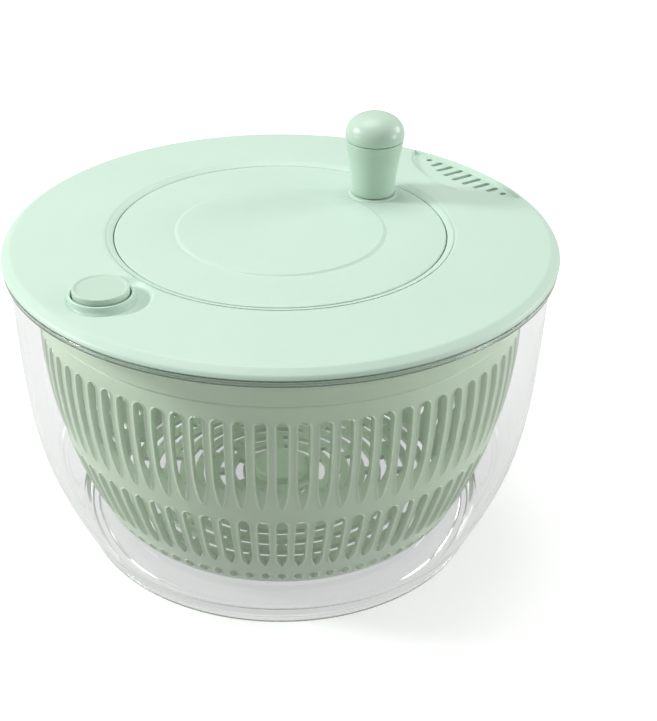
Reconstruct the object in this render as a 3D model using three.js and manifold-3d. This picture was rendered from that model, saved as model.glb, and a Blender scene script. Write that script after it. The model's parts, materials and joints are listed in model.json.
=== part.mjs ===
// A crank salad spinner: a clear bowl, a slotted basket that turns on a pivot in the bowl's floor, and a lid
// that holds a flush crank disc with a knob, a gear train that turns the basket faster than the crank, a
// push-button brake and a slotted drain.
// Millimetres, +Z up. The origin is the centre of the foot ring's resting plane.
import * as THREE from "three";
import { mergeVertices } from "three/addons/utils/BufferGeometryUtils.js";
import Module from "manifold-3d";

const wasm = await Module();
wasm.setup();

// ---------------------------------------------------------------- driving dimensions
const LID_RADIUS = 117.5; // 235 mm across, the widest part
const GAP = 0.3; // between pieces that touch
const SEAT_Z = 134.5; // underside of the lid's rim, where it sits on the bowl
const LID_TOP_Z = 140.2; // top of the lid beside the crank disc

const BOWL_WALL = 2.4;
const BOWL_RIM_Z = SEAT_Z - GAP;
const BOWL_LIP_RADIUS = LID_RADIUS - GAP; // the flange that the lid's rim rests on
const FOOT_OUTER = 89.8;
const FOOT_INNER = 84;
const FLOOR_UNDER_Z = 4;
const FLOOR_TOP_Z = 6.8;
const PIVOT_BOSS_RADIUS = 6.5;
const PIVOT_BOSS_Z = 15;
const PIVOT_CAP_RADIUS = 9;

const BASKET_WALL = 2.2;
const BASKET_FLOOR_Z = 14.5;
const BASKET_RIM_Z = 127.5;
const BASKET_MOUTH = 100.8; // radius inside the rim
const SLOTS = 80; // in each row round the basket
const DRIVE_RIBS = 8; // ribs inside the basket's mouth that the drive plate turns

const DISC_OPENING = 70.6; // radius of the hole in the lid
const DISC_TOP_Z = 139.5;
const DISC_UNDER_Z = 137.1;
const DISC_STUB = 3.3; // radius of the disc's centre stub, which turns in the sun gear
const HOUSING_INNER = 75;
const HOUSING_OUTER = 77.4;
const COVER_TOP_Z = 130.2;
const COVER_UNDER_Z = 127.8;
const COVER_RADIUS = 85.7;
const SCREW_CIRCLE = 81;
const COVER_SCREWS = 6;

const MODULE = 1.7;
const RING_TEETH = 63;
const PLANET_TEETH = 24;
const SUN_TEETH = 15;
const PLANETS = 3;
const PLANET_CIRCLE = (MODULE * (SUN_TEETH + PLANET_TEETH)) / 2;
const PLANET_POST = 3.8;
const GEAR_UNDER_Z = 131;
const GEAR_TOP_Z = 136.4;

const RACE_INNER = 60.6; // raised race on the cover, under the ring gear
const RACE_OUTER = 64;

const DRIVE_TOP_Z = 123.5;
const DRIVE_UNDER_Z = 121;
const SHAFT_RADIUS = 6;
const SHAFT_HEX = 5; // corner radius of the hexagon that drives the plate

const KNOB_CIRCLE = 56.3; // crank radius
const KNOB_ANGLE = THREE.MathUtils.degToRad(42.6);
const POST_RADIUS = 4.2;
const POST_TOP_Z = 159.6;
const KNOB_BORE = POST_RADIUS + 0.35;
const KNOB_SHELF_Z = 158.6; // floor of the knob's cup, just under the post's end
const KNOB_FOOT_Z = 140.5;
const KNOB_SEAM_Z = 165.4;
const KNOB_RADIUS = 12.8;
const KNOB_TOP_Z = 177.4;

const BUTTON = new THREE.Vector2(-69.5, -59.7);
const BUTTON_RADIUS = 11.3;
const BUTTON_TOP_Z = 142.9;
const BUTTON_SKIN = 2;
const COLLAR_OUTER = 13;
const COLLAR_TOP_Z = 140.5;
const DISH = new THREE.Vector2(-65.9, -61.3); // scooped finger dish round the button's collar
const BRAKE_TRAVEL = 2.5;
const GUIDE_TOP_Z = 132; // floor of the button's guide tube
const GUIDE_FLOOR = 1.5;

const VENT_ANGLE = THREE.MathUtils.degToRad(36.5);
const VENT_SLOTS = 9;
const VENT_PITCH = 6.2;

const TURN = 2 * Math.PI;
const FINE = 40; // facets round the large turned pieces
const COARSE = 12; // facets round the small ones

// ---------------------------------------------------------------- materials
const plastic = (color, roughness) => new THREE.MeshStandardMaterial({ color, roughness, metalness: 0 });
const mint = plastic(0xbfe3cd, 0.45);
const basketGreen = plastic(0xa9c8ae, 0.5);
const acetal = plastic(0xf1f1ec, 0.4);
const rubber = plastic(0x6f7a75, 0.9);
const steel = new THREE.MeshStandardMaterial({ color: 0xb9bcc0, roughness: 0.3, metalness: 1 });
const clear = new THREE.MeshStandardMaterial({
  color: 0xf2f6f6,
  roughness: 0.05,
  transparent: true,
  opacity: 0.25,
});

// ---------------------------------------------------------------- solids
// A closed three.js geometry as a manifold-3d solid.
function solid(geometry) {
  const bare = geometry.index ? geometry.toNonIndexed() : geometry.clone();
  bare.deleteAttribute("normal");
  bare.deleteAttribute("uv");
  const merged = mergeVertices(bare, 1e-4);
  const corners = merged.index.array;
  const kept = [];
  for (let i = 0; i < corners.length; i += 3) {
    const [a, b, c] = corners.slice(i, i + 3);
    if (a !== b && b !== c && c !== a) kept.push(a, b, c);
  }
  return new wasm.Manifold(
    new wasm.Mesh({
      numProp: 3,
      vertProperties: new Float32Array(merged.attributes.position.array),
      triVerts: new Uint32Array(kept),
    }),
  );
}

// A manifold-3d solid as a named mesh in a group.
function addPiece(group, name, shape, material) {
  const made = shape.getMesh();
  const geometry = new THREE.BufferGeometry();
  geometry.setAttribute("position", new THREE.BufferAttribute(made.vertProperties, 3));
  geometry.setIndex(new THREE.BufferAttribute(made.triVerts, 1));
  geometry.computeVertexNormals();
  const mesh = new THREE.Mesh(geometry, material);
  mesh.name = name;
  group.add(mesh);
  return mesh;
}

// A profile of [radius, z] points, anticlockwise, turned about Z. A profile off the axis closes on itself.
function turned(profile, segments = FINE) {
  const points = profile.map(([r, z]) => new THREE.Vector2(r, z));
  if (points[0].x > 0) points.push(points[0].clone());
  return solid(new THREE.LatheGeometry(points, segments).rotateX(Math.PI / 2));
}

// A disc or tube from z0 to z1, at x, y.
function tube(outer, z0, z1, { inner = 0, x = 0, y = 0, segments = COARSE } = {}) {
  const profile =
    inner > 0
      ? [[inner, z0], [outer, z0], [outer, z1], [inner, z1]]
      : [[0, z0], [outer, z0], [outer, z1], [0, z1]];
  return turned(profile, segments).translate([x, y, 0]);
}

// An outline of Vector2 points, extruded from z0 to z1.
function extruded(points, z0, z1, holes = []) {
  const shape = new THREE.Shape(points);
  shape.holes = holes.map((hole) => new THREE.Path(hole));
  const geometry = new THREE.ExtrudeGeometry(shape, { depth: z1 - z0, bevelEnabled: false });
  return solid(geometry.translate(0, 0, z0));
}

const box = (x, y, z0, z1) => solid(new THREE.BoxGeometry(x, y, z1 - z0).translate(0, 0, (z0 + z1) / 2));
const polar = (radius, angle) => new THREE.Vector2(radius * Math.cos(angle), radius * Math.sin(angle));
const circle = (radius, segments) =>
  Array.from({ length: segments }, (_, i) => polar(radius, (i * TURN) / segments));
const degrees = THREE.MathUtils.radToDeg;
const addAll = (shapes) => wasm.Manifold.union(shapes);

// ---------------------------------------------------------------- wall curves
// The bowl's outer wall, from under the rim down to the foot.
const bowlCurve = new THREE.CubicBezierCurve(
  new THREE.Vector2(114.6, 131.2),
  new THREE.Vector2(112.8, 56),
  new THREE.Vector2(111, 45.5),
  new THREE.Vector2(90.6, 3),
);
// The basket's outer wall as straight bands, so that a slot cuts one band only.
const BASKET_BANDS = [
  [102.6, 113.4],
  [102, 109],
  [98.2, 62.5],
  [86.4, 26.5],
  [83, 19],
  [78.5, BASKET_FLOOR_Z],
];

// Points moved sideways by a wall's thickness, towards the axis and up.
function inset(points, thickness) {
  return points.map((point, i) => {
    const before = points[Math.max(0, i - 1)];
    const after = points[Math.min(points.length - 1, i + 1)];
    const along = new THREE.Vector2().subVectors(after, before).normalize();
    return new THREE.Vector2(point.x + along.y * thickness, point.y - along.x * thickness);
  });
}

// ---------------------------------------------------------------- bowl
function bowlSolid() {
  const outer = bowlCurve.getPoints(7);
  const inner = inset(outer, BOWL_WALL).filter((p) => p.y > FLOOR_TOP_Z + 4);
  return turned(
    [
      [0, FLOOR_UNDER_Z],
      [FOOT_INNER - 1, FLOOR_UNDER_Z],
      [FOOT_INNER, 0],
      [FOOT_OUTER, 0],
      ...outer.reverse().map((p) => [p.x, p.y]),
      [BOWL_LIP_RADIUS, BOWL_RIM_Z - 2.3],
      [BOWL_LIP_RADIUS, BOWL_RIM_Z],
      [inner[0].x, BOWL_RIM_Z],
      ...inner.map((p) => [p.x, p.y]),
      [79, FLOOR_TOP_Z],
      [PIVOT_BOSS_RADIUS, FLOOR_TOP_Z],
      [PIVOT_BOSS_RADIUS, PIVOT_BOSS_Z - 2],
      [PIVOT_BOSS_RADIUS - 2, PIVOT_BOSS_Z],
      [0, PIVOT_BOSS_Z],
    ],
  );
}

// The loose cap that turns on the bowl's boss and carries the basket.
function pivotCapSolid() {
  const ceiling = PIVOT_BOSS_Z + GAP;
  return turned(
    [
      [PIVOT_BOSS_RADIUS + GAP, 9.5],
      [PIVOT_CAP_RADIUS, 9.5],
      [PIVOT_CAP_RADIUS, ceiling + 1.4],
      [PIVOT_CAP_RADIUS - 1.2, ceiling + 2.2],
      [0, ceiling + 2.2],
      [0, ceiling],
      [PIVOT_BOSS_RADIUS + GAP, ceiling],
    ],
    20,
  );
}

// ---------------------------------------------------------------- basket
// A cutter for one slot, wide at the upper z and tapering to the lower z, reaching out along X.
function slotCutter(width, foot, z0, z1, reach) {
  const outline = [
    new THREE.Vector2(-foot / 2, z0),
    new THREE.Vector2(foot / 2, z0),
    new THREE.Vector2(width / 2, z1),
    new THREE.Vector2(-width / 2, z1),
  ];
  const geometry = new THREE.ExtrudeGeometry(new THREE.Shape(outline), { depth: 30, bevelEnabled: false });
  return solid(geometry.rotateX(Math.PI / 2).rotateZ(Math.PI / 2).translate(reach, 0, 0));
}

// Arc slots in the basket's floor: rings of six.
function floorCutters() {
  const cutters = [];
  const arcs = 6;
  const rib = 7; // width left between two arcs
  const width = 4;
  const steps = 3;
  for (const radius of [26, 41, 56, 70]) {
    for (let k = 0; k < arcs; k++) {
      const half = Math.PI / arcs - rib / 2 / radius;
      const middle = (k * TURN) / arcs;
      const side = (r, flip) =>
        Array.from({ length: steps + 1 }, (_, i) => polar(r, middle + flip * half * ((2 * i) / steps - 1)));
      const outline = [...side(radius + width / 2, 1), ...side(radius - width / 2, -1)];
      cutters.push(extruded(outline, BASKET_FLOOR_Z - 4, BASKET_FLOOR_Z + 5));
    }
  }
  return cutters;
}

function basketSolid() {
  const outer = BASKET_BANDS.map(([r, z]) => new THREE.Vector2(r, z));
  const inner = inset(outer, BASKET_WALL);
  const floorTop = BASKET_FLOOR_Z + BASKET_WALL;
  const socket = PIVOT_CAP_RADIUS + 0.5;
  const ceiling = PIVOT_BOSS_Z + 3;
  const shell = turned(
    [
      [0, ceiling],
      [socket, ceiling],
      [socket, BASKET_FLOOR_Z],
      ...outer.reverse().map((p) => [p.x, p.y]),
      [103.4, 123.6],
      [105.6, 124.6],
      [105.6, BASKET_RIM_Z - 0.6],
      [104.8, BASKET_RIM_Z],
      [BASKET_MOUTH, BASKET_RIM_Z],
      [BASKET_MOUTH, 113.4],
      ...inner.slice(1, -1).map((p) => [p.x, p.y]),
      [77.6, floorTop],
      [12.5, floorTop],
      [12, ceiling + 2.4],
      [0, ceiling + 2.6],
    ],
    SLOTS / 2,
  );
  const cutters = floorCutters();
  const upper = slotCutter(4, 2, 65, 107.5, 85);
  const lower = slotCutter(4.2, 2.2, 29, 59.5, 75);
  for (let k = 0; k < SLOTS; k++) {
    const turn = [0, 0, ((k + 0.5) * 360) / SLOTS];
    cutters.push(upper.rotate(turn), lower.rotate(turn));
  }
  const ribs = [];
  for (let k = 0; k < DRIVE_RIBS; k++) {
    const rib = box(2, 2, 117, 125).translate([BASKET_MOUTH - 0.4, 0, 0]);
    ribs.push(rib.rotate([0, 0, (k * 360) / DRIVE_RIBS]));
  }
  return addAll([shell, ...ribs]).subtract(addAll(cutters));
}

// ---------------------------------------------------------------- lid
// The drain's scoop is a lens: a circle about a centre outside the lid, within a circle inside the rim.
const VENT_SCOOP = { centre: 131.4, radius: 43.2, rim: 113.4 };
// Its slots end on an arc inside the rim and start on an arc that bends the other way.
const VENT_SLOT = { width: 2, shortest: 2.6, outer: 109.2, inner: 98.3, bend: 47 };

function lidSolid() {
  const skirtOuter = 111.2;
  const skirtInner = 109.4;
  const skin = 136.1; // underside of the lid's top
  const shell = turned([
    [HOUSING_INNER, COVER_TOP_Z + GAP],
    [HOUSING_OUTER, COVER_TOP_Z + GAP],
    [HOUSING_OUTER, skin],
    [skirtInner, skin - 0.6],
    [skirtInner, 131],
    [skirtOuter, 131],
    [skirtOuter, SEAT_Z],
    [LID_RADIUS, SEAT_Z],
    [LID_RADIUS, SEAT_Z + 1.3],
    [LID_RADIUS - 0.9, SEAT_Z + 2.8],
    [LID_RADIUS - 2.6, SEAT_Z + 3.7],
    [112.3, 138.6],
    [73.8, LID_TOP_Z],
    [DISC_OPENING, 139.3],
    [DISC_OPENING, 136.9],
    [HOUSING_INNER, 136.9],
  ]);

  // Bosses for the cover's screws, outside the gear housing.
  const bosses = [];
  const holes = [];
  for (let k = 0; k < COVER_SCREWS; k++) {
    const { x, y } = polar(SCREW_CIRCLE, (k * TURN) / COVER_SCREWS);
    bosses.push(tube(3.8, COVER_TOP_Z + GAP, skin + 1, { x, y, segments: 12 }));
    holes.push(tube(1.7, COVER_TOP_Z - 1, skin - 0.6, { x, y, segments: 8 }));
  }

  // The button's guide tube, its floor, and the pad that carries the finger dish.
  const { x, y } = BUTTON;
  const at = { x, y, segments: 32 };
  const collar = tube(COLLAR_OUTER, GUIDE_TOP_Z - GUIDE_FLOOR, COLLAR_TOP_Z, at);
  const bore = tube(BUTTON_RADIUS + 0.45, GUIDE_TOP_Z, COLLAR_TOP_Z + 5, at);
  const stemHole = tube(3, GUIDE_TOP_Z - 5, GUIDE_TOP_Z + 5, { x, y });
  const pad = tube(17, skin - 0.9, skin + 1, { x: DISH.x, y: DISH.y, segments: 32 });
  const padInside = pad.subtract(tube(HOUSING_OUTER - 1, 120, 150, { segments: FINE }));
  const dish = turned([[0, 137.3], [13.8, 137.3], [16, 138.5], [17.6, 141], [0, 141]], 32)
    .translate([DISH.x, DISH.y, 0]);

  // The drain: a scoop with a sloping floor, cut by parallel slots.
  const lens = tube(VENT_SCOOP.radius, 130, 150, { x: VENT_SCOOP.centre, segments: 64 })
    .intersect(tube(VENT_SCOOP.rim, 130, 150, { segments: FINE }));
  const tilted = box(60, 90, 0, 12).rotate([0, 2.6, 0]).translate([100, 0, 137.2]);
  const scoop = lens.intersect(tilted);
  const { width, shortest, outer, inner, bend } = VENT_SLOT;
  const slots = [];
  for (let k = 0; k < VENT_SLOTS; k++) {
    const side = (k - (VENT_SLOTS - 1) / 2) * VENT_PITCH;
    const outerEnd = Math.sqrt(outer ** 2 - side ** 2);
    const innerEnd = inner + bend - Math.sqrt(bend ** 2 - side ** 2);
    const length = Math.max(outerEnd - innerEnd, shortest);
    slots.push(box(length, width, 130, 145).translate([outerEnd - length / 2, side, 0]));
  }
  const drain = addAll([scoop, ...slots]).rotate([0, 0, degrees(VENT_ANGLE)]);
  const scoopFloor = lens.intersect(box(60, 90, 134.4, 136.3).translate([100, 0, 0]))
    .intersect(tube(110, 120, 150, { segments: FINE }))
    .rotate([0, 0, degrees(VENT_ANGLE)]);

  return addAll([shell, ...bosses, padInside, scoopFloor])
    .subtract(addAll([dish, drain, ...holes]))
    .add(collar)
    .subtract(addAll([bore, stemHole]));
}

function gearCoverSolid() {
  const shoulder = COVER_TOP_Z + 0.5;
  const plate = turned(
    [
      [SHAFT_RADIUS + GAP, 125.2],
      [8.8, 125.2],
      [8.8, COVER_UNDER_Z],
      [COVER_RADIUS, COVER_UNDER_Z],
      [COVER_RADIUS, COVER_TOP_Z],
      [RACE_OUTER, COVER_TOP_Z],
      [RACE_OUTER, shoulder],
      [RACE_INNER, shoulder],
      [RACE_INNER, COVER_TOP_Z],
      [SHAFT_RADIUS + GAP, COVER_TOP_Z],
    ],
  );
  const posts = [];
  for (let k = 0; k < PLANETS; k++) {
    const { x, y } = polar(PLANET_CIRCLE, (k * TURN) / PLANETS);
    posts.push(tube(5.6, COVER_TOP_Z - 1, shoulder, { x, y }));
    posts.push(tube(PLANET_POST, COVER_TOP_Z - 1, GEAR_TOP_Z + 0.3, { x, y }));
  }
  const holes = [];
  for (let k = 0; k < COVER_SCREWS; k++) {
    const { x, y } = polar(SCREW_CIRCLE, (k * TURN) / COVER_SCREWS);
    holes.push(tube(1.9, COVER_UNDER_Z - 2, COVER_TOP_Z + 2, { x, y, segments: 8 }));
  }
  return addAll([plate, ...posts]).subtract(addAll(holes));
}

// A pan head screw with a cross recess, driven upwards from z, its head below.
function screwSolid(head, shank, headHeight, length, segments = 10) {
  const body = turned(
    [
      [0, -headHeight],
      [head * 0.8, -headHeight],
      [head, 0],
      [shank, 0],
      [shank, length - shank],
      [0, length],
    ],
    segments,
  );
  const recess = box(head * 1.1, 0.7, -headHeight - 1, -headHeight * 0.45);
  return body.subtract(recess.add(recess.rotate([0, 0, 90])));
}

// ---------------------------------------------------------------- gears
// A gear outline with straight flanks on the chord of a 20 degree involute, thinned for backlash.
function gearOutline(teeth, { internal = false } = {}) {
  const pitch = (MODULE * teeth) / 2;
  const base = pitch * Math.cos(THREE.MathUtils.degToRad(20));
  const sign = internal ? -1 : 1;
  const tip = pitch + sign * 0.85 * MODULE;
  const root = pitch - sign * 1.15 * MODULE;
  const involute = (r) => {
    const t = Math.sqrt(Math.max((r / base) ** 2 - 1, 0));
    return t - Math.atan(t);
  };
  const backlash = 0.14; // taken off each flank at the pitch circle
  const halfTooth = (r) =>
    TURN / teeth / 4 - backlash / pitch + sign * (involute(pitch) - involute(Math.max(r, base)));
  const points = [];
  for (let k = 0; k < teeth; k++) {
    const middle = (k * TURN) / teeth;
    points.push(polar(root, middle - halfTooth(root)), polar(tip, middle - halfTooth(tip)));
    points.push(polar(tip, middle + halfTooth(tip)), polar(root, middle + halfTooth(root)));
  }
  return points;
}

function ringGearSolid() {
  return extruded(circle(60.8, FINE), GEAR_UNDER_Z + 0.2, DISC_UNDER_Z - GAP, [
    gearOutline(RING_TEETH, { internal: true }),
  ]);
}

function planetSolid() {
  return extruded(gearOutline(PLANET_TEETH), GEAR_UNDER_Z, GEAR_TOP_Z, [circle(PLANET_POST + 0.35, COARSE)]);
}

// The sun gear and, in one moulding, the shaft that carries the drive plate.
function sunSolid() {
  const gear = extruded(gearOutline(SUN_TEETH), GEAR_UNDER_Z, GEAR_TOP_Z);
  const shaft = tube(SHAFT_RADIUS, 124.9, GEAR_UNDER_Z + 0.5, { segments: 24 });
  const hexagon = tube(SHAFT_HEX, 118.9, 125.2, { segments: 6 });
  const stubBore = tube(DISC_STUB + 0.4, GEAR_UNDER_Z + 0.4, GEAR_TOP_Z + 1);
  const screwBore = tube(1.6, 118, 127, { segments: 8 });
  return addAll([gear, shaft, hexagon]).subtract(stubBore.add(screwBore));
}

// ---------------------------------------------------------------- drive plate
function drivePlateSolid() {
  const outer = 100.1;
  const plate = turned(
    [
      [0, 119],
      [10, 119],
      [10, DRIVE_UNDER_Z],
      [84, DRIVE_UNDER_Z],
      [86, 119.8],
      [98.5, 119.8],
      [outer, DRIVE_UNDER_Z],
      [outer, DRIVE_TOP_Z],
      [86, DRIVE_TOP_Z],
      [84, DRIVE_UNDER_Z + 1.8],
      [10, DRIVE_UNDER_Z + 1.8],
      [10, 124.6],
      [0, 124.6],
    ],
  );
  const cutters = [tube(SHAFT_HEX + GAP, 110, 130, { segments: 6 })];
  for (let k = 0; k < DRIVE_RIBS; k++) {
    const turn = [0, 0, (k * 360) / DRIVE_RIBS];
    cutters.push(box(4, 3.4, 110, 130).translate([outer, 0, 0]).rotate(turn));
    cutters.push(tube(9, 110, 130, { x: 62 }).rotate([0, 0, ((k + 0.5) * 360) / DRIVE_RIBS]));
  }
  return plate.subtract(addAll(cutters));
}

// ---------------------------------------------------------------- crank disc and knob
function crankDiscSolid() {
  const disc = turned(
    [
      [0, 132.2],
      [DISC_STUB, 132.2],
      [DISC_STUB, DISC_UNDER_Z],
      [61.2, DISC_UNDER_Z],
      [61.2, GEAR_UNDER_Z],
      [63.4, GEAR_UNDER_Z],
      [63.4, 134.4],
      [74.2, 134.4],
      [74.2, 136.6],
      [69.9, 136.6],
      [69.9, 139.1],
      [69.4, DISC_TOP_Z],
      [44.8, DISC_TOP_Z],
      [43.2, 140.3],
      [0, 140.4],
    ],
  );
  const { x, y } = polar(KNOB_CIRCLE, KNOB_ANGLE);
  const boss = tube(10.8, DISC_TOP_Z - 1, KNOB_FOOT_Z - 0.4, { x, y, segments: 24 });
  const post = tube(POST_RADIUS, DISC_TOP_Z - 1, POST_TOP_Z, { x, y });
  const screwHole = tube(1.5, 146, 165, { x, y, segments: 8 });
  return addAll([disc, boss, post]).subtract(screwHole);
}

// The knob's outline above its foot.
const knobCurve = new THREE.SplineCurve([
  new THREE.Vector2(9.6, KNOB_FOOT_Z),
  new THREE.Vector2(10.1, KNOB_FOOT_Z + 7),
  new THREE.Vector2(11.5, KNOB_FOOT_Z + 17),
  new THREE.Vector2(KNOB_RADIUS, KNOB_SEAM_Z),
]);

function knobGripSolid() {
  const outside = knobCurve.getPoints(5).map((p) => [p.x, p.y]);
  return turned(
    [
      [KNOB_BORE, KNOB_FOOT_Z],
      ...outside,
      [8.5, KNOB_SEAM_Z],
      [8.5, KNOB_SHELF_Z],
      [KNOB_BORE, KNOB_SHELF_Z],
    ],
    24,
  );
}

function knobCapSolid() {
  const seam = KNOB_SEAM_Z + GAP;
  const steps = 6;
  const dome = [];
  for (let i = 0; i < steps; i++) {
    const a = (i * Math.PI) / 2 / steps; // a dome a little squarer than an ellipse
    dome.push([KNOB_RADIUS * Math.cos(a) ** 0.8, seam + (KNOB_TOP_Z - seam) * Math.sin(a) ** 0.9]);
  }
  dome.push([0, KNOB_TOP_Z]);
  return turned(
    [[0, seam + 4], [6.4, seam + 3], [6.4, seam - 2.2], [8.2, seam - 2.2], [8.2, seam], ...dome],
    24,
  );
}

// ---------------------------------------------------------------- brake
// The button with its stem, hollow underneath for the spring.
function buttonSolid() {
  const ceiling = BUTTON_TOP_Z - BUTTON_SKIN;
  return turned(
    [
      [0, 128.1],
      [2.6, 128.1],
      [2.6, ceiling],
      [9.3, ceiling],
      [9.3, 135],
      [BUTTON_RADIUS, 135],
      [BUTTON_RADIUS, BUTTON_TOP_Z - 0.9],
      [BUTTON_RADIUS - 0.7, BUTTON_TOP_Z],
      [9.8, BUTTON_TOP_Z],
      [9.2, BUTTON_TOP_Z - 0.6],
      [0, BUTTON_TOP_Z - 0.6],
    ],
    28,
  );
}

class Helix extends THREE.Curve {
  constructor(radius, turns, z0, z1) {
    super();
    Object.assign(this, { radius, turns, z0, z1 });
  }
  getPoint(t, target = new THREE.Vector3()) {
    const p = polar(this.radius, t * this.turns * TURN);
    return target.set(p.x, p.y, this.z0 + t * (this.z1 - this.z0));
  }
}

function springSolid() {
  const wire = 0.5; // radius
  const turns = 4;
  const clearance = GAP + wire;
  const extrudePath = new Helix(6, turns, GUIDE_TOP_Z + clearance, BUTTON_TOP_Z - BUTTON_SKIN - clearance);
  const section = new THREE.Shape(circle(wire, 6));
  return solid(new THREE.ExtrudeGeometry(section, { steps: turns * 10, extrudePath, bevelEnabled: false }));
}

const retainingRingSolid = () => tube(5, 129.5, 130.2, { inner: 2.9 });

// The pad hangs above the drive plate's ring by the button's travel.
function brakePadSolid() {
  const under = DRIVE_TOP_Z + BRAKE_TRAVEL + 0.1;
  const profile = [[0, 0], [4.2, 0], [4.6, 0.6], [4.6, 3.1], [2.9, 3.1], [2.9, 1.7], [0, 1.7]];
  return turned(profile.map(([r, z]) => [r, under + z]), COARSE);
}

// ---------------------------------------------------------------- assembly
const spinner = new THREE.Group();

const bowl = new THREE.Group();
addPiece(bowl, "bowl", bowlSolid(), clear);
addPiece(bowl, "pivot_cap", pivotCapSolid(), acetal);
spinner.add(bowl);

const basket = new THREE.Group();
basket.rotation.z = Math.PI / SLOTS; // brings a slot to the front
addPiece(basket, "basket", basketSolid(), basketGreen);
spinner.add(basket);

const lid = new THREE.Group();
addPiece(lid, "lid_shell", lidSolid(), mint);
addPiece(lid, "gear_cover", gearCoverSolid(), mint);
for (let k = 0; k < COVER_SCREWS; k++) {
  const screw = addPiece(lid, `cover_screw_${k + 1}`, screwSolid(3.2, 1.3, 1.9, 7.2), steel);
  const { x, y } = polar(SCREW_CIRCLE, (k * TURN) / COVER_SCREWS);
  screw.position.set(x, y, COVER_UNDER_Z - GAP);
}
spinner.add(lid);

const crank = new THREE.Group();
addPiece(crank, "crank_disc", crankDiscSolid(), mint);
addPiece(crank, "ring_gear", ringGearSolid(), acetal);
lid.add(crank);

const knob = new THREE.Group();
const knobPlace = polar(KNOB_CIRCLE, KNOB_ANGLE);
knob.position.set(knobPlace.x, knobPlace.y, 0);
addPiece(knob, "knob_grip", knobGripSolid(), mint);
addPiece(knob, "knob_cap", knobCapSolid(), mint);
addPiece(knob, "knob_washer", tube(6.2, POST_TOP_Z + 0.4, POST_TOP_Z + 1.2, { inner: 1.7 }), steel);
const knobScrew = addPiece(knob, "knob_screw", screwSolid(3, 1.2, 1.8, 10), steel);
knobScrew.rotation.x = Math.PI; // head up, driven down into the post
knobScrew.position.z = POST_TOP_Z + 1.5;
crank.add(knob);

for (let k = 0; k < PLANETS; k++) {
  const planet = addPiece(lid, `planet_gear_${k + 1}`, planetSolid(), acetal);
  const { x, y } = polar(PLANET_CIRCLE, (k * TURN) / PLANETS);
  planet.position.set(x, y, 0);
  planet.rotation.z = (k * TURN) / PLANETS + Math.PI / PLANET_TEETH; // a tooth space faces each way
}

const rotor = new THREE.Group();
addPiece(rotor, "sun_gear", sunSolid(), acetal);
addPiece(rotor, "drive_plate", drivePlateSolid(), basketGreen).rotation.z = Math.PI / SLOTS;
addPiece(rotor, "drive_washer", tube(6.5, 118, 118.6, { inner: 1.8, segments: 20 }), steel);
const driveScrew = addPiece(rotor, "drive_screw", screwSolid(3.2, 1.3, 1.9, 8.4), steel);
driveScrew.position.z = 117.7;
lid.add(rotor);

const brake = new THREE.Group();
brake.position.set(BUTTON.x, BUTTON.y, 0);
addPiece(brake, "brake_button", buttonSolid(), mint);
addPiece(brake, "brake_spring", springSolid(), steel);
addPiece(brake, "button_ring", retainingRingSolid(), steel);
addPiece(brake, "brake_pad", brakePadSolid(), rubber);
lid.add(brake);

export default spinner;
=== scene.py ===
"""The looks of a crank salad spinner: a clear bowl, a slotted basket and a geared lid, on a white floor."""
import json
import math

import bmesh
import bpy
import numpy as np
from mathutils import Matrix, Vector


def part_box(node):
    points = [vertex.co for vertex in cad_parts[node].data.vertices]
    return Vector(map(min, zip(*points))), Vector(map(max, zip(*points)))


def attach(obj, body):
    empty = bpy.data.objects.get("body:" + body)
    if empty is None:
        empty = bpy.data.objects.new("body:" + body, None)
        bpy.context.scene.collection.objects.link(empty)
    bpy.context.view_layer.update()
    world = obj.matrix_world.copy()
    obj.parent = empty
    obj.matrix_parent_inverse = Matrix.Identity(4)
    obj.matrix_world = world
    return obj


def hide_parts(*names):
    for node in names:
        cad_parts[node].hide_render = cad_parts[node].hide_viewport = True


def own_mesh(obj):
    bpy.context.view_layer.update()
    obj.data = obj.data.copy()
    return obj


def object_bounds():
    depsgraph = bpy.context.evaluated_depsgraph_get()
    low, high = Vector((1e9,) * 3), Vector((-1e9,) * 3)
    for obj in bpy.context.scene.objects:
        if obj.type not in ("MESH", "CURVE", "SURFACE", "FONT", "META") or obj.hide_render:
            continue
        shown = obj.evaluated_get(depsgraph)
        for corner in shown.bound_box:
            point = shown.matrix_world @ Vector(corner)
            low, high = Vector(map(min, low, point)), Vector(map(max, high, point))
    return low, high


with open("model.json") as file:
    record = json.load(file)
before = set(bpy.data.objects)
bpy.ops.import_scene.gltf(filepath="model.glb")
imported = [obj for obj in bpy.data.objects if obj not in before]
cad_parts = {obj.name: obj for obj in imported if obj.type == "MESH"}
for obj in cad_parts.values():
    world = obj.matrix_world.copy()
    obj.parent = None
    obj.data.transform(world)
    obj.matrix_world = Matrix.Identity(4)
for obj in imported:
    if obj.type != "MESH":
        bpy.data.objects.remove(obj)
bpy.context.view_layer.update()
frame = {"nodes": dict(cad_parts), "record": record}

MM = 0.001
TURN = 2 * math.pi
SLOTS = 80  # in each row round the basket
BAR_HALF = math.pi / SLOTS  # from the middle of a slot to the middle of a bar
BASKET_TURN = math.radians(-89.55)  # where the basket happens to stand, a slot nearly at the front


# ---------------------------------------------------------------- places, from the frame
def centre(node):
    """The middle of a CAD node's box, in millimetres."""
    low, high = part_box(node)
    return [(a + b) / 2 / MM for a, b in zip(low, high)]


def top(node):
    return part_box(node)[1][2] / MM


def bottom(node):
    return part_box(node)[0][2] / MM


def radius(node):
    """The largest radius of a CAD node turned about its own middle, in millimetres."""
    low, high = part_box(node)
    return max(high[0] - low[0], high[1] - low[1]) / 2 / MM


LID_RADIUS = radius("lid_shell")
SEAT_Z = top("bowl") + 0.3  # the lid's rim rests here
BUTTON_X, BUTTON_Y, _ = centre("brake_button")
KNOB_X, KNOB_Y, _ = centre("knob_grip")

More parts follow.
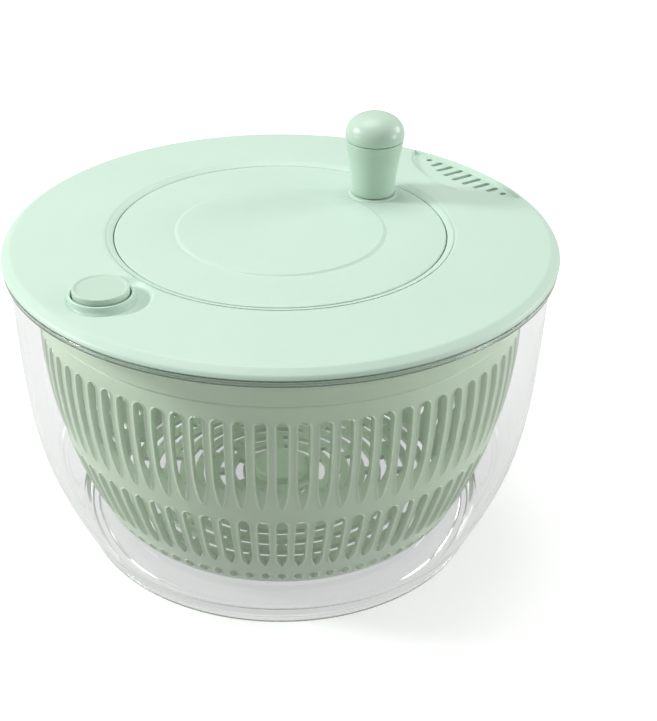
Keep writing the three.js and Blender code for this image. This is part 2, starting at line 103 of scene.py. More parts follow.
BOWL_WALL = 2.4
BASKET_WALL = 2.2
BASKET_MOUTH = 100.8  # the rim's inner radius
BASKET_FLOOR = (14.5, 16.7)  # under side and upper side
BAND_Z = 116.15  # where the band under the basket's rim begins
SLOT_RAMP = (64.9, 78)  # the long slots' feet run up to the outside between these heights
DRIVE_RIBS = 8  # in the basket's mouth; the drive plate's notches fit over them

VENT_ANGLE = math.radians(36.5)  # the drain's direction from the middle of the lid
VENT_SLOTS, VENT_PITCH, VENT_HALF_WIDTH = 9, 6.2, 1.25
VENT_OUTER = 111.3  # the slots' outer ends lie on this circle round the lid's middle
VENT_INNER, VENT_BEND = 98.6, 47  # where their inner ends begin, and the radius of the arc they lie on
VENT_SHORTEST = 3.4
SCOOP_PLACE, SCOOP_RADIUS = 131.4, 43.2  # the round edge of the drain's scoop, out along its direction
SCOOP_FALL = math.tan(math.radians(2.6))

LID_TOP, LID_SKIN = 137.2, 2.7  # heights above LID_TOP belong to the lid's upper side
SKIN_INNER, SKIN_OUTER = 74.2, 113.6  # the plain part of the lid's skin
HOUSING = 78.5  # the gear housing stays inside this radius
DISH = (BUTTON_X + 3.6, BUTTON_Y - 1.6)  # the finger dish round the button
DISH_Z, DISH_RADIUS, DISH_SLOPE = 137.3, 17.7, 3.4
KNOB_BULGE = 0.25


# ---------------------------------------------------------------- outlines
def bezier(a, b, c, d, count):
    t = np.linspace(0, 1, count)[:, None]
    a, b, c, d = (np.array(p, float) for p in (a, b, c, d))
    return a * (1 - t) ** 3 + 3 * b * t * (1 - t) ** 2 + 3 * c * t**2 * (1 - t) + d * t**3


def offset(points, distance):
    """Points moved to the left of their direction by a distance."""
    along = np.gradient(np.array(points, float), axis=0)
    along /= np.linalg.norm(along, axis=1)[:, None]
    return np.array(points) + distance * np.stack([along[:, 1], -along[:, 0]], 1)


def rotated(points, angle):
    """2-D points turned about the origin."""
    c, s = math.cos(angle), math.sin(angle)
    return [(x * c - y * s, x * s + y * c) for x, y in points]


def rounded(corners, steps=5):
    """A closed outline through corners (r, z, fillet radius); a corner without a radius stays sharp."""
    outline = []
    for i, corner in enumerate(corners):
        here = np.array(corner[:2], float)
        if len(corner) < 3:
            outline.append(here)
            continue
        before = np.array(corners[i - 1][:2], float) - here
        after = np.array(corners[(i + 1) % len(corners)][:2], float) - here
        reach = min(corner[2], 0.49 * np.linalg.norm(before), 0.49 * np.linalg.norm(after))
        start = here + before / np.linalg.norm(before) * reach
        end = here + after / np.linalg.norm(after) * reach
        for t in np.linspace(0, 1, steps):
            outline.append(start * (1 - t) ** 2 + 2 * here * t * (1 - t) + end * t**2)
    return np.array(outline)


def smooth(x):
    """0 below 0, 1 above 1, and an S curve between."""
    x = np.clip(x, 0, 1)
    return x * x * (3 - 2 * x)


# ---------------------------------------------------------------- meshes
class Shell:
    """Vertices in millimetres and faces, gathered before they become one mesh."""

    def __init__(self):
        self.verts, self.faces = [], []

    def add(self, verts, faces):
        base = len(self.verts)
        self.verts.extend(map(tuple, verts))
        self.faces.extend(tuple(base + i for i in face) for face in faces)
        return self

    def turn(self, outline, segments, x=0.0, y=0.0, lift=None):
        """A closed (r, z) outline, anticlockwise, turned about a vertical axis; lift adds to z at x, y."""
        outline = np.array([p[:2] for p in outline], float)
        angles = np.arange(segments) * TURN / segments
        r, z = outline[:, 0][:, None], outline[:, 1][:, None]
        px, py = x + r * np.cos(angles), y + r * np.sin(angles)
        pz = np.broadcast_to(z, px.shape).copy()
        if lift is not None:
            pz = lift(px, py, pz)
        count = len(outline)
        faces = []
        for i in range(count):
            j = (i + 1) % count
            if outline[i][0] < 1e-6 and outline[j][0] < 1e-6:
                continue
            for k in range(segments):
                m = (k + 1) % segments
                faces.append((i * segments + k, i * segments + m, j * segments + m, j * segments + k))
        return self.add(np.stack([px, py, pz], -1).reshape(-1, 3), faces)

    def prism(self, outline, low, high):
        """A closed (x, y) outline drawn up from one height to another."""
        n = len(outline)
        sides = [(i, (i + 1) % n, n + (i + 1) % n, n + i) for i in range(n)]
        caps = [tuple(range(n))[::-1], tuple(range(n, 2 * n))]
        return self.add([(x, y, z) for z in (low, high) for x, y in outline], sides + caps)

    def mesh(self, name, sharp=38):
        mesh = bpy.data.meshes.new(name)
        mesh.from_pydata((np.array(self.verts) * MM).tolist(), [], self.faces)
        work = bmesh.new()
        work.from_mesh(mesh)
        bmesh.ops.remove_doubles(work, verts=work.verts, dist=1e-6)
        bmesh.ops.recalc_face_normals(work, faces=work.faces)
        for face in work.faces:
            face.smooth = True
        work.to_mesh(mesh)
        work.free()
        mesh.set_sharp_from_angle(angle=math.radians(sharp))
        return mesh


def piece(name, shell, material, body, *nodes, slot, sharp=38):
    """A shell as a Blender object that stands for CAD nodes and rides on their body."""
    obj = bpy.data.objects.new(name, shell.mesh(name, sharp))
    bpy.context.collection.objects.link(obj)
    obj.data.materials.append(material)
    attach(obj, body)
    if nodes:
        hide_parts(*nodes)
    return obj


def cut(obj, cutter):
    """Subtracts a shell from an object for good."""
    tool = bpy.data.objects.new("cutter", cutter.mesh("cutter"))
    bpy.context.collection.objects.link(tool)
    modifier = obj.modifiers.new("cut", "BOOLEAN")
    modifier.operation, modifier.solver, modifier.object = "DIFFERENCE", "EXACT", tool
    bpy.context.view_layer.update()
    made = bpy.data.meshes.new_from_object(obj.evaluated_get(bpy.context.evaluated_depsgraph_get()))
    obj.modifiers.remove(modifier)
    obj.data = made
    obj.data.set_sharp_from_angle(angle=math.radians(32))
    bpy.data.objects.remove(tool)


# ---------------------------------------------------------------- materials
def srgb(*channels):
    """A colour given as it shows on a screen, 0 to 255, as linear light."""
    return tuple(((c / 255 + 0.055) / 1.055) ** 2.4 for c in channels) + (1.0,)


class Nodes:
    """A material's node tree, with short calls to add and link nodes."""

    def __init__(self, name):
        self.material = bpy.data.materials.new(name)
        self.material.use_nodes = True
        self.tree = self.material.node_tree
        self.shader = self.tree.nodes["Principled BSDF"]
        self.output = self.tree.nodes["Material Output"]
        self.place = self.node("ShaderNodeTexCoord").outputs["Object"]

    def node(self, kind, **settings):
        made = self.tree.nodes.new(kind)
        for key, value in settings.items():
            if hasattr(made, key):
                setattr(made, key, value)
            else:
                made.inputs[key.replace("_", " ")].default_value = value
        return made

    def link(self, source, target):
        self.tree.links.new(source, target)

    def noise(self, scale, detail=3.0, stretch=(1, 1, 1)):
        mapping = self.node("ShaderNodeMapping")
        mapping.inputs["Scale"].default_value = stretch
        noise = self.node("ShaderNodeTexNoise", Scale=scale, Detail=detail)
        self.link(self.place, mapping.inputs["Vector"])
        self.link(mapping.outputs["Vector"], noise.inputs["Vector"])
        return noise.outputs["Fac"]

    def spread(self, factor, low, high, start=0.3, end=0.7):
        """A factor remapped to run from low to high."""
        remap = self.node("ShaderNodeMapRange")
        for name, value in zip(("From Min", "From Max", "To Min", "To Max"), (start, end, low, high)):
            remap.inputs[name].default_value = value
        self.link(factor, remap.inputs["Value"])
        return remap.outputs["Result"]

    def blend(self, factor, first, second):
        mix = self.node("ShaderNodeMix", data_type="RGBA")
        for a, b in (("A", first), ("B", second)):
            [s for s in mix.inputs if s.name == a and s.type == "RGBA"][0].default_value = b
        self.link(factor, mix.inputs["Factor"])
        return [s for s in mix.outputs if s.type == "RGBA"][0]

    def bump(self, height, strength, distance):
        bump = self.node("ShaderNodeBump", Strength=strength, Distance=distance)
        self.link(height, bump.inputs["Height"])
        self.link(bump.outputs["Normal"], self.shader.inputs["Normal"])

    def set(self, **values):
        for name, value in values.items():
            self.shader.inputs[name.replace("_", " ")].default_value = value
        return self


def moulded(name, colour, deep, roughness, grain=0.12, glow=0.05, uneven=0.055):
    """Satin moulded plastic: faint flow marks in the colour, a fine spark-eroded grain and uneven gloss."""
    n = Nodes(name).set(IOR=1.5, Specular_IOR_Level=0.45)
    flow = n.noise(22, 4, (1, 1, 2.5))
    n.link(n.blend(n.spread(flow, 0, 1), colour, deep), n.shader.inputs["Base Color"])
    n.link(n.spread(n.noise(260, 2), roughness - uneven, roughness + uneven), n.shader.inputs["Roughness"])
    n.bump(n.noise(2600, 2), grain, 0.00004)
    n.set(Subsurface_Weight=glow, Subsurface_Scale=0.002)
    n.shader.inputs["Subsurface Radius"].default_value = (1.0, 1.2, 1.0)
    return n.material


def clear_plastic():
    """Polished clear plastic, with painted shade in the bowl's lip: its upper part is tinted dark to stand
    for the shadow and dark reflections under the lid's edge. Lamp light and diffuse light pass straight
    through, so that the basket is lit, and so does light that has crossed many of its surfaces."""
    n = Nodes("clear_plastic")
    n.set(IOR=1.46, Transmission_Weight=1.0)
    height = n.node("ShaderNodeSeparateXYZ")
    n.link(n.place, height.inputs[0])
    # painted shade: the lip is tinted dark from 132.0 mm up, standing for the shadow under the lid's edge
    lip = n.spread(height.outputs["Z"], 0, 1, 0.1320, 0.1326)
    n.link(n.blend(lip, (0.972, 0.979, 0.978, 1), (0.4, 0.46, 0.42, 1)), n.shader.inputs["Base Color"])
    n.link(n.spread(n.noise(40, 3), 0.005, 0.03), n.shader.inputs["Roughness"])
    n.bump(n.noise(18, 1, (1, 1, 0.35)), 0.08, 0.0006)
    rays = n.node("ShaderNodeLightPath")
    either = n.node("ShaderNodeMath", operation="MAXIMUM")
    n.link(rays.outputs["Is Shadow Ray"], either.inputs[0])
    n.link(rays.outputs["Is Diffuse Ray"], either.inputs[1])
    deep = n.node("ShaderNodeMath", operation="GREATER_THAN")
    deep.inputs[1].default_value = 4.5
    n.link(rays.outputs["Ray Depth"], deep.inputs[0])
    through = n.node("ShaderNodeMath", operation="MAXIMUM")
    n.link(either.outputs[0], through.inputs[0])
    n.link(deep.outputs[0], through.inputs[1])
    passing = n.node("ShaderNodeBsdfTransparent", Color=(0.965, 0.975, 0.972, 1))
    mix = n.node("ShaderNodeMixShader")
    n.link(through.outputs[0], mix.inputs["Fac"])
    n.link(n.shader.outputs[0], mix.inputs[1])
    n.link(passing.outputs[0], mix.inputs[2])
    n.link(mix.outputs[0], n.output.inputs["Surface"])
    return n.material


def stainless():
    """Stainless steel with fine turning marks."""
    n = Nodes("stainless").set(Metallic=1.0, Anisotropic=0.4)
    marks = n.noise(900, 3, (1, 1, 8))
    colour = n.blend(n.spread(marks, 0, 1), srgb(196, 198, 202), srgb(168, 171, 176))
    n.link(colour, n.shader.inputs["Base Color"])
    n.link(n.spread(marks, 0.22, 0.4), n.shader.inputs["Roughness"])
    n.bump(marks, 0.1, 0.00003)
    return n.material


def soft_rubber():
    """Dull moulded rubber with a dusty bloom."""
    n = Nodes("soft_rubber")
    bloom = n.noise(300, 5)
    colour = n.blend(n.spread(bloom, 0, 1), srgb(62, 68, 66), srgb(84, 90, 87))
    n.link(colour, n.shader.inputs["Base Color"])
    n.link(n.spread(bloom, 0.7, 0.92), n.shader.inputs["Roughness"])
    n.bump(n.noise(1800, 3), 0.3, 0.00008)
    return n.material


MINT = moulded("mint_plastic", srgb(196, 219, 204), srgb(193, 217, 201), 0.42)
GLOSSY_MINT = moulded(
    "mint_plastic_glossy", srgb(189, 213, 195), srgb(187, 211, 193), 0.3, grain=0.03, uneven=0.02
)
BASKET = moulded("basket_plastic", srgb(210, 231, 202), srgb(205, 227, 197), 0.36, glow=0.1)
ACETAL = moulded("gear_plastic", srgb(236, 236, 228), srgb(228, 228, 219), 0.36)
STEEL = stainless()
RUBBER = soft_rubber()
CLEAR = clear_plastic()


# ---------------------------------------------------------------- bowl
def make_bowl():
    rim = top("bowl")
    lip = LID_RADIUS - 0.3
    outer = bezier((114.6, 131.2), (112.8, 56), (111, 45.5), (90.6, 3), 60)
    inner = offset(outer[::-1], -BOWL_WALL)
    inner = inner[inner[:, 1] > 12]
    foot = rounded([(84.2, 4, 1.6), (86.8, 0, 1.2), (89.8, 0, 1.2), (90.3, 3, 0.6)])
    flange = rounded([
        (114.6, 131.8, 0.6), (lip, 131.8, 0.5), (lip, rim, 0.5), (112.3, rim, 0.9), (112.3, 131),
    ])
    boss = rounded([(80.5, 6.8, 7), (7, 6.8, 0.8), (6.5, 15, 1.2), (0, 15)])
    outline = [(0, 4), *foot, *outer[-2::-1], *flange, *inner[::-1], *boss]
    shell = Shell().turn(outline, 256)
    piece("bowl_clear", shell, CLEAR, "bowl", "bowl", slot="clear_plastic", sharp=50)


def make_pivot_cap():
    z, high, r = bottom("pivot_cap"), top("pivot_cap"), radius("pivot_cap")
    outline = rounded([(6.8, z), (r, z, 0.4), (r, high, 1.4), (0, high), (0, high - 2.2), (6.8, high - 2.2)])
    piece("pivot_cap_fine", Shell().turn(outline, 64), ACETAL, "pivot", "pivot_cap", slot="gear_plastic")


# ---------------------------------------------------------------- basket
def slot_outline(z, low, high, width, arch, taper, point):
    """The width of a slot's edge at heights z: an arch over the top, straight sides, and a tapering foot."""
    top_end = np.clip((high - z) / arch, 0, 1)
    foot = np.clip((z - low) / taper, 0, 1)
    sides = width * np.sqrt(1 - (1 - top_end) ** 2) * (1 - (1 - foot) ** point)
    return np.where((z >= low) & (z <= high), sides, 0)


def basket_rows():
    """Rows up the wall: outer and inner (r, z), the slot's edge width, its opening and its recess's depth."""
    z = set(np.linspace(24, 118, 30).round(3))
    for high, low, arch, taper in ((23.4, 18.6, 2, 2), (58.9, 29.1, 3.2, 6), (109, 65, 2.4, 18)):
        z |= {round(high - arch * t, 3) for t in (0, 0.02, 0.07, 0.17, 0.33, 0.6, 1)}
        z |= {round(low + taper * t, 3) for t in (0, 0.02, 0.08, 0.18, 0.3, 0.45, 0.58, 0.7, 0.85, 1)}
    z |= {115.2, 115.4, 115.6, 115.8, 116, 116.14, 116.22, 116.3, 116.38, 116.46}
    z = np.array(sorted(z | {74.2, 75, 76.5}))
    curve = bezier((82.1, 17.3), (94.1, 40.4), (107.4, 84.5), (102.8, 119), 80)
    outer = np.stack([np.interp(z, curve[:, 1], curve[:, 0]), z], 1)
    inner = offset(outer, -BASKET_WALL)
    outer[:, 0] += 0.9 * smooth((z - BAND_Z) / 0.3)  # the rim's band stands proud, over a fine groove
    outer[:, 0] -= 0.7 * np.exp(-((z - BAND_Z + 0.35) / 0.3) ** 2)
    inner[:, 0] = np.minimum(inner[:, 0], BASKET_MOUTH)
    edge = np.maximum.reduce([
        slot_outline(z, 65, 109, 4.3, 2.4, 18, 2.2),
        slot_outline(z, 29.1, 58.9, 4.2, 3.2, 6, 1.7),
        slot_outline(z, 18.6, 23.4, 3.4, 2, 2, 1.6),
    ])
    ramp = (z > SLOT_RAMP[0]) & (z < SLOT_RAMP[1])
    opening = np.where(ramp, edge * np.sqrt(np.clip((z - 74) / 4, 0, 1)), edge)
    depth = np.where(ramp, 0.95 * smooth((z - 64) / 12), 0.24)
    corner_out = [(76, 14.5), (78.6, 14.7), (80.4, 15.5)]
    corner_in = [(76, 16.7), (77.6, 16.8), (78.8, 17.4)]
    rim_out = [
        (103.7, 122.4), (103.8, 123.5), (104.6, 124.3), (105.4, 124.8), (105.6, 125.3), (105.6, 126.9),
        (105.3, 127.3), (104.9, 127.5), (103.2, 127.5),
    ]
    rim_in = [(BASKET_MOUTH, h) for h in (121, 122, 123, 124, 125, 126.6)]
    rim_in += [(100.9, 127), (101.3, 127.4), (101.9, 127.5)]
    closed = lambda row: np.concatenate([np.zeros(len(corner_out)), row, np.zeros(len(rim_out))])
    outer = np.concatenate([corner_out, outer, rim_out])
    inner = np.concatenate([corner_in, inner, rim_in])
    return outer, inner, closed(edge), closed(opening), closed(depth)


def wall_section(reach, edge_width, opening, depth):
    """Half a bar's section: (distance from its middle, share of the wall's thickness), outside to inside.
    A slim bead stands round each slot, and the slot's sides run in to the depth of its opening."""
    edge, lip = reach - edge_width / 2, reach - opening / 2
    shown = min(1, edge_width / 1.5)
    bead, high = min(1.1, 0.6 * edge) * shown, 0.15 * shown
    depth = depth * shown
    outside = [
        (0, 0), (0.5 * (edge - bead), 0), (edge - bead, 0), (edge - 0.6 * bead, -0.75 * high),
        (edge - 0.3 * bead, -high), (edge - 0.08 * bead, 0.2 * depth - 0.5 * high),
        (edge + 0.3 * (lip - edge), 0.75 * depth), (lip, depth),
    ]
    back = 0.16 * min(1, opening / 1.5)
    inside = [(lip, 1 - back), (lip - back, 1 - 0.3 * back), (lip - 2.5 * back, 1), (0.5 * lip, 1), (0, 1)]
    return outside + inside


def add_basket_wall(shell):
    outer, inner, edge, opening, depth = basket_rows()
    sections = np.array([wall_section(o[0] * BAR_HALF, *row) for o, *row in zip(outer, edge, opening, depth)])
    rows, count = sections.shape[:2]
    turn = sections[:, :, 0] / outer[:, :1]
    share = sections[:, :, 1]
    r = outer[:, :1] * (1 - share) + inner[:, :1] * share
    z = outer[:, 1:] * (1 - share) + inner[:, 1:] * share
    lip = 7  # the section's last point outside
    quads = []
    for i in range(rows - 1):
        for j in range(count - 1):
            if j != lip or opening[i] > 0 or opening[i + 1] > 0:
                quads.append((i * count + j, i * count + j + 1, (i + 1) * count + j + 1, (i + 1) * count + j))
    rim = (rows - 1) * count
    across = (0, 1, 2, 7), (12, 11, 10, 8)
    for a, b, c, d in zip(across[0], across[0][1:], across[1][1:], across[1]):
        quads.append((rim + a, rim + b, rim + c, rim + d))
    for k in range(SLOTS):
        slot = BASKET_TURN + k * TURN / SLOTS
        for side in (-1, 1):
            angle = slot + side * (BAR_HALF - turn)
            verts = np.stack([r * np.cos(angle), r * np.sin(angle), z], -1).reshape(-1, 3)
            shell.add(verts, quads if side < 0 else [q[::-1] for q in quads])


def add_basket_floor(shell):
    """The floor: rings of arc slots, ribbed apart, round a raised hub."""
    radii, marks = [12.5], [0]
    for ring in range(8):
        a = 17.5 + ring * 7.4
        radii += [a, a + 3.6]
        marks += [ring + 1, 0]
    radii.append(76)
    segments = 360
    arcs = [0, 6, 8, 8, 12, 12, 16, 16, 16]
    angles = np.arange(segments) * TURN / segments
    keep = np.ones((len(radii) - 1, segments), bool)
    for i, mark in enumerate(marks):
        if mark:
            rib = 3.4 / radii[i]
            phase = (angles + (mark % 2) * math.pi / arcs[mark]) % (TURN / arcs[mark])
            keep[i] = (phase < rib / 2) | (phase > TURN / arcs[mark] - rib / 2)
    r = np.array(radii)[:, None]
    for level in BASKET_FLOOR:
        grid = np.stack([r * np.cos(angles), r * np.sin(angles), np.full((len(radii), segments), level)], -1)
        shell.add(grid.reshape(-1, 3), [])
    size = len(radii) * segments
    base = len(shell.verts) - 2 * size
    at = lambda i, k, up: base + up * size + i * segments + k % segments
    for i in range(len(radii) - 1):
        for k in range(segments):
            if not keep[i][k]:
                continue
            a, b, c, d = (i, k), (i + 1, k), (i + 1, k + 1), (i, k + 1)
            shell.faces.append(tuple(at(*p, 1) for p in (a, b, c, d)))
            shell.faces.append(tuple(at(*p, 0) for p in (d, c, b, a)))
            around = (((a, b), (i, k - 1)), ((c, d), (i, k + 1)), ((b, c), (i + 1, k)), ((d, a), (i - 1, k)))
            for (p, q), (ni, nk) in around:
                if 0 <= ni < len(radii) - 1 and not keep[ni][nk % segments]:
                    shell.faces.append((at(*p, 1), at(*p, 0), at(*q, 0), at(*q, 1)))
    low, high = BASKET_FLOOR
    hub = rounded([
        (9.5, low), (12.5, low), (12.5, high, 0.5), (12, 20.4, 0.8), (0, 20.6), (0, 18), (9.5, 18),
    ])
    shell.turn(hub, 96)


def make_basket():
    shell = Shell()
    add_basket_wall(shell)
    add_basket_floor(shell)
    for k in range(DRIVE_RIBS):
        rib = rounded([(-1, -1, 0.4), (1.4, -1), (1.4, 1), (-1, 1, 0.4)], 3)
        rib = [(BASKET_MOUTH - 0.4 + x, y) for x, y in rib]
        shell.prism(rotated(rib, k * TURN / DRIVE_RIBS + BAR_HALF), 117.2, 125)
    piece("basket_fine", shell, BASKET, "basket", "basket", slot="basket_plastic", sharp=40)


# ---------------------------------------------------------------- lid
def vent_frame(x, y):
    """x, y as distances out along the drain's axis and across it."""
    c, s = math.cos(VENT_ANGLE), math.sin(VENT_ANGLE)
    return x * c + y * s, -x * s + y * c


def lid_lift(x, y, z):
    """Sinks the lid's skin for the finger dish and for the drain's scoop."""
    across = np.hypot(x, y)
    skin = (across > SKIN_INNER) & (across < SKIN_OUTER) & (z > 135.2)
    under = z < LID_TOP
    level = np.where(under, z + LID_SKIN, z)
    near = np.hypot(x - DISH[0], y - DISH[1])
    dish = (level - DISH_Z) * smooth((DISH_RADIUS - near) / DISH_SLOPE)
    u, v = vent_frame(x, y)
    inside = SCOOP_RADIUS - np.hypot(u - SCOOP_PLACE, v)
    floor = LID_TOP - (u - 100) * SCOOP_FALL
    scoop = (level - floor) * smooth(inside / 0.5) * smooth((SKIN_OUTER - 0.2 - across) / 0.8)
    housing = under & (across < HOUSING)
    return np.where(skin & ~housing, z - np.maximum(np.maximum(dish, scoop), 0), z)


def lid_cutter():
    """The drain's slots and the button's hole."""
    shell = Shell()
    half = VENT_HALF_WIDTH
    ends = np.linspace(-math.pi / 2, math.pi / 2, 7)
    for k in range(VENT_SLOTS):
        side = (k - (VENT_SLOTS - 1) / 2) * VENT_PITCH
        outer = math.sqrt(VENT_OUTER**2 - side**2)
        inner = min(VENT_INNER + VENT_BEND - math.sqrt(VENT_BEND**2 - side**2), outer - VENT_SHORTEST)
        outline = [(outer - half + half * math.cos(a), side + half * math.sin(a)) for a in ends]
        outline += [(inner + half - half * math.cos(a), side - half * math.sin(a)) for a in ends]
        shell.prism(rotated(outline, VENT_ANGLE), 133.6, 146)
    shell.turn([(0, 125), (12.6, 125), (12.6, 150), (0, 150)], 64, BUTTON_X, BUTTON_Y)
    return shell


def make_lid():
    edge = rounded([(112.6, 138.6), (113.6, 138.45, 0.7), (116.8, 136.5, 1.1), (LID_RADIUS, 135.3)], 6)
    crown = [(r, 140.2 - 1.6 * ((r - 74) / 38.5) ** 1.3) for r in np.arange(74.4, 112.4, 0.55)]
    bevel = rounded([(70.6, 136.9, 0.2), (70.6, 139.3, 0.5), (73.6, 140.2, 0.9)])
    under = [(r, 136.1) for r in np.arange(109.2, 78, -0.8)]
    rim = [(117.3, 134.9), (115.9, SEAT_Z), (111.2, SEAT_Z), (111.2, 131.3), (110.9, 131), (109.7, 131),
           (109.4, 131.3), (109.4, 135.6)]
    housing = [(77.4, 136.1), (77.4, 130.5), (75, 130.5), (75, 136.9)]
    outline = [*crown[::-1], *bevel[::-1], *housing[::-1], *under[::-1], *rim[::-1], *edge[::-1]]
    shell = Shell().turn(outline[::-1], 960, lift=lid_lift)
    lid = piece("lid_fine", shell, MINT, "lid", "lid_shell", slot="mint_plastic", sharp=35)
    cut(lid, lid_cutter())

    guide = rounded([
        (3, 130.5), (13, 130.5, 0.4), (13.3, 136.6), (14.4, 137.2, 0.8), (13.3, 138.2, 0.8), (13, 140.5, 0.7),
        (11.95, 140.5, 0.5), (11.95, 132), (3, 132),
    ])
    collar = Shell().turn(guide, 96, BUTTON_X, BUTTON_Y)
    for k in range(6):
        x, y = 81 * math.cos(k * TURN / 6), 81 * math.sin(k * TURN / 6)
        boss = [(1.7, 130.5), (3.8, 130.5), (4.1, 137), (1.7, 137)]
        collar.turn(boss, 32, x, y)
    piece("button_collar", collar, MINT, "lid", slot="mint_plastic")


def make_gear_cover():
    z, high = 127.8, 130.2
    plate = rounded([
        (6.3, 125.2), (8.8, 125.2, 0.4), (8.8, z, 0.6), (30, z), (31, z - 0.6), (32.4, z - 0.6), (33.4, z),
        (66, z), (67, z - 0.6), (68.4, z - 0.6), (69.4, z), (85.7, z, 0.6), (85.7, high, 0.4), (6.3, high),
    ])
    shell = Shell().turn(plate, 240)
    rib, ribs = [(33.4, -0.7), (66, -0.7), (66, 0.7), (33.4, 0.7)], 12
    for k in range(ribs):  # stiffening ribs under the plate
        shell.prism(rotated(rib, (k + 0.5) * TURN / ribs), z - 0.6, z + 0.4)
    for k in range(3):
        x, y, _ = centre(f"planet_gear_{k + 1}")
        shell.turn([(0, 129.5), (5.6, 129.5), (5.6, 130.7), (3.8, 130.7), (3.8, 136.7), (0, 136.7)], 48, x, y)
    piece("gear_cover_fine", shell, MINT, "lid", "gear_cover", slot="mint_plastic")


# ---------------------------------------------------------------- crank
def make_crank_disc():
    disc = rounded([
        (0, 132.2), (3.3, 132.2, 0.3), (3.3, 137.1, 0.3), (61.2, 137.1), (61.2, 131, 0.3), (63.4, 131, 0.3),
        (63.4, 134.4, 0.4), (74.2, 134.4, 0.4), (74.2, 136.6, 0.4), (70.15, 136.6), (70.15, 139.5, 0.7),
        (44.7, 139.5, 0.6), (43.7, 140.35, 0.6), (0, 140.45),
    ], 7)
    shell = Shell().turn(disc, 320)
    post = rounded([
        (0, 139), (11, 139), (10.8, 139.5, 0.4), (10.2, 140.1, 0.5), (4.2, 140.1, 0.3), (4.2, 159.6, 0.4),
        (0, 159.6),
    ])
    shell.turn(post, 96, KNOB_X, KNOB_Y)
    piece("crank_disc_fine", shell, MINT, "crank", "crank_disc", slot="mint_plastic")


def make_knob():
    foot, seam = bottom("knob_grip"), top("knob_grip")
    high, wide = top("knob_cap"), radius("knob_cap")
    bore, pocket, shelf = 4.55, 8.5, 158.6
    side = bezier((9.5, foot + 0.7), (10.2, foot + 10), (11.5, foot + 18), (wide - 0.05, seam - 0.4), 24)
    grip = [
        (bore, foot), (8.9, foot), (9.25, foot + 0.15), *side, (wide - 0.2, seam - 0.1), (wide - 0.5, seam),
        (pocket, seam), (pocket, shelf), (bore, shelf),
    ]
    shell = Shell().turn(grip, 128, KNOB_X, KNOB_Y)
    piece("knob_grip_fine", shell, GLOSSY_MINT, "knob", "knob_grip", slot="mint_plastic")

    start = seam + 0.3
    belly, widest = start + 2.2, wide + KNOB_BULGE
    low = (wide, start + 0.35)
    cheek = bezier(low, (wide + 0.15, start + 0.9), (widest, start + 1.5), (widest, belly), 8)
    turn = np.linspace(0, math.pi / 2, 26)[1:]
    dome = [(widest * math.cos(a) ** 0.92, belly + (high - belly) * math.sin(a) ** 0.98) for a in turn]
    dome[-1] = (0, high)
    cap = [
        (0, start + 4), (6.4, start + 3), (6.4, start - 2.2), (8.2, start - 2.2), (8.2, start),
        (wide - 0.4, start), (wide - 0.1, start + 0.1), *cheek, *dome,
    ]
    shell = Shell().turn(cap, 128, KNOB_X, KNOB_Y)
    piece("knob_cap_fine", shell, GLOSSY_MINT, "knob", "knob_cap", slot="mint_plastic")


# ---------------------------------------------------------------- brake and drive
def make_button():
    high = top("brake_button")
    outline = rounded([
        (0, 128.1), (2.6, 128.1), (2.6, high - 2), (9.3, high - 2), (9.3, 135), (11.3, 135),
        (11.3, high, 0.9), (10.1, high, 0.4), (9.6, high - 0.45, 0.6), (0, high - 0.6),
    ], 7)
    shell = Shell().turn(outline, 128, BUTTON_X, BUTTON_Y)
    piece("button_fine", shell, GLOSSY_MINT, "brake", "brake_button", slot="mint_plastic")


def make_spring():
    """The brake's coil, squashed by the button."""
    wire, coil, turns, steps, sides = 0.5, 6.0, 4, 36, 10
    low, high = bottom("brake_spring"), top("brake_spring")
    z0, z1 = low + wire, high - wire
    shell = Shell()
    rings = turns * steps + 1
    verts = []
    for i in range(rings):
        a = i * TURN / steps
        z = z0 + (z1 - z0) * i / (rings - 1)
        for b in np.arange(sides) * TURN / sides:
            r = coil + wire * math.cos(b)
            verts.append((BUTTON_X + r * math.cos(a), BUTTON_Y + r * math.sin(a), z + wire * math.sin(b)))
    n = sides
    faces = [
        (i * n + j, i * n + (j + 1) % n, (i + 1) * n + (j + 1) % n, (i + 1) * n + j)
        for i in range(rings - 1) for j in range(n)
    ]
    shell.add(verts, [*faces, tuple(range(n)), tuple(range((rings - 1) * n, rings * n))])
    spring = piece("spring_fine", shell, STEEL, "lid", "brake_spring", slot="steel")
    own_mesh(spring)


def make_drive_plate():
    outer = radius("drive_plate")
    profile = rounded([
        (5, 119), (10, 119, 0.5), (10, 121, 0.5), (84, 121), (86, 119.8, 0.4), (98.3, 119.8, 0.4),
        (outer, 121, 0.4), (outer, 123.5, 0.4), (86, 123.5, 0.4), (84, 122.8), (10, 122.8), (10, 124.6, 0.4),
        (5, 124.6),
    ])
    shell = Shell().turn(profile, 256)
    plate = piece("drive_plate_fine", shell, BASKET, "rotor", "drive_plate", slot="basket_plastic")
    cutter, below, above, place = Shell(), 110, 130, 62
    window = [(0, below), (9, below), (9, above), (0, above)]
    notch = [(98.2, -1.7), (103, -1.7), (103, 1.7), (98.2, 1.7)]
    for k in range(DRIVE_RIBS):
        a = k * TURN / DRIVE_RIBS + BAR_HALF
        between = a + math.pi / DRIVE_RIBS
        cutter.turn(window, 40, place * math.cos(between), place * math.sin(between))
        cutter.prism(rotated(notch, a), below, above)
    cut(plate, cutter)


# ---------------------------------------------------------------- finishes on the CAD pieces that stay
FINISHES = {
    "mint_plastic": MINT,
    "basket_plastic": BASKET,
    "gear_plastic": ACETAL,
    "steel": STEEL,
    "rubber": RUBBER,
    "clear_plastic": CLEAR,
}


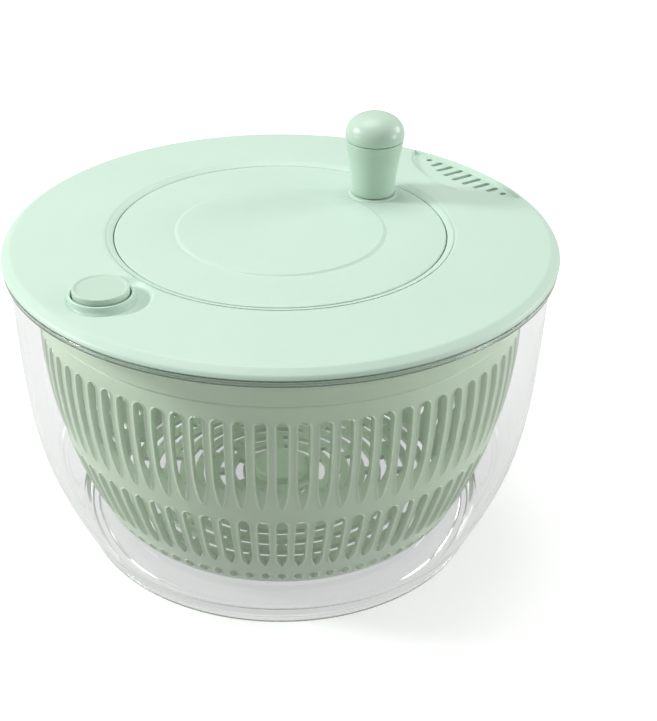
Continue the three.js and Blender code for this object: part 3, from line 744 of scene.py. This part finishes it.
def finish_cad():
    for part in frame["record"]["subparts"]:
        obj = frame["nodes"][part["node"]]
        obj.data.materials.clear()
        obj.data.materials.append(FINISHES[part["material_slot"]])
        bevel = obj.modifiers.new("edges", "BEVEL")
        bevel.width, bevel.segments, bevel.limit_method = 0.00012, 2, "ANGLE"
        bevel.angle_limit = math.radians(40)
        bevel.harden_normals = False


# ---------------------------------------------------------------- stage
def area_light(name, place, size, power, target=(0, 0, 0.1)):
    light = bpy.data.lights.new(name, "AREA")
    light.shape, light.size, light.energy = "DISK", size, power
    obj = bpy.data.objects.new(name, light)
    bpy.context.collection.objects.link(obj)
    obj.location = place
    away = np.array(place) - np.array(target)
    flat = math.hypot(away[0], away[1])
    obj.rotation_euler = (math.atan2(flat, away[2]), 0, math.atan2(away[1], away[0]) + math.pi / 2)


def make_stage():
    white = (1, 1, 1, 1)
    n = Nodes("floor").set(Specular_IOR_Level=0.1, Emission_Color=white)
    rays = n.node("ShaderNodeLightPath").outputs

    def by_ray(camera, bounced, other):
        """A value that differs for camera rays, for light bounced off the floor and for other rays."""
        total = n.node("ShaderNodeMath", operation="ADD")
        n.link(n.spread(rays["Is Camera Ray"], other, camera, 0, 1), total.inputs[0])
        n.link(n.spread(rays["Is Diffuse Ray"], 0, bounced - other, 0, 1), total.inputs[1])
        return total.outputs[0]

    n.link(by_ray(0.8, 0.3, 0.26), n.shader.inputs["Base Color"])
    n.link(by_ray(0.48, 0, 0.6), n.shader.inputs["Emission Strength"])
    n.link(n.spread(n.noise(30, 2), 0.75, 0.9), n.shader.inputs["Roughness"])
    mesh = bpy.data.meshes.new("floor")
    reach, clearance = 6, 0.0002
    corners = [(-reach, -reach, 0), (reach, -reach, 0), (reach, reach, 0), (-reach, reach, 0)]
    mesh.from_pydata(corners, [], [(0, 1, 2, 3)])
    floor = bpy.data.objects.new("floor", mesh)
    bpy.context.collection.objects.link(floor)
    floor.location.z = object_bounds()[0][2] - clearance
    mesh.materials.append(n.material)

    world = bpy.data.worlds.new("studio")
    bpy.context.scene.world = world
    world.use_nodes = True
    background = world.node_tree.nodes["Background"]
    background.inputs["Color"].default_value = white
    background.inputs["Strength"].default_value = 0.34
    area_light("key", (-1.6, 0.1, 1.05), 0.4, 20)
    area_light("top", (-0.25, 0.3, 1.7), 1.3, 16)
    area_light("right", (1.5, 0.5, 0.7), 0.6, 8)
    area_light("fill_left", (-1.5, -0.3, 0.3), 0.6, 3)
    area_light("fill_right", (1.5, -0.3, 0.3), 0.6, 6)


def make_camera():
    down = 30.27  # degrees below level
    data = bpy.data.cameras.new("camera")
    data.sensor_width, data.lens = 36, 70.05
    data.shift_x = 0.0669
    camera = bpy.data.objects.new("camera", data)
    bpy.context.collection.objects.link(camera)
    camera.location = (0, -0.5422, 0.3915)
    camera.rotation_euler = (math.radians(90 - down), 0, 0)
    bpy.context.scene.camera = camera
    bpy.context.scene.view_settings.view_transform = "Standard"


make_camera()
make_stage()
finish_cad()
make_bowl()
make_pivot_cap()
make_basket()
make_lid()
make_gear_cover()
make_crank_disc()
make_knob()
make_button()
make_spring()
make_drive_plate()

bpy.context.view_layer.update()
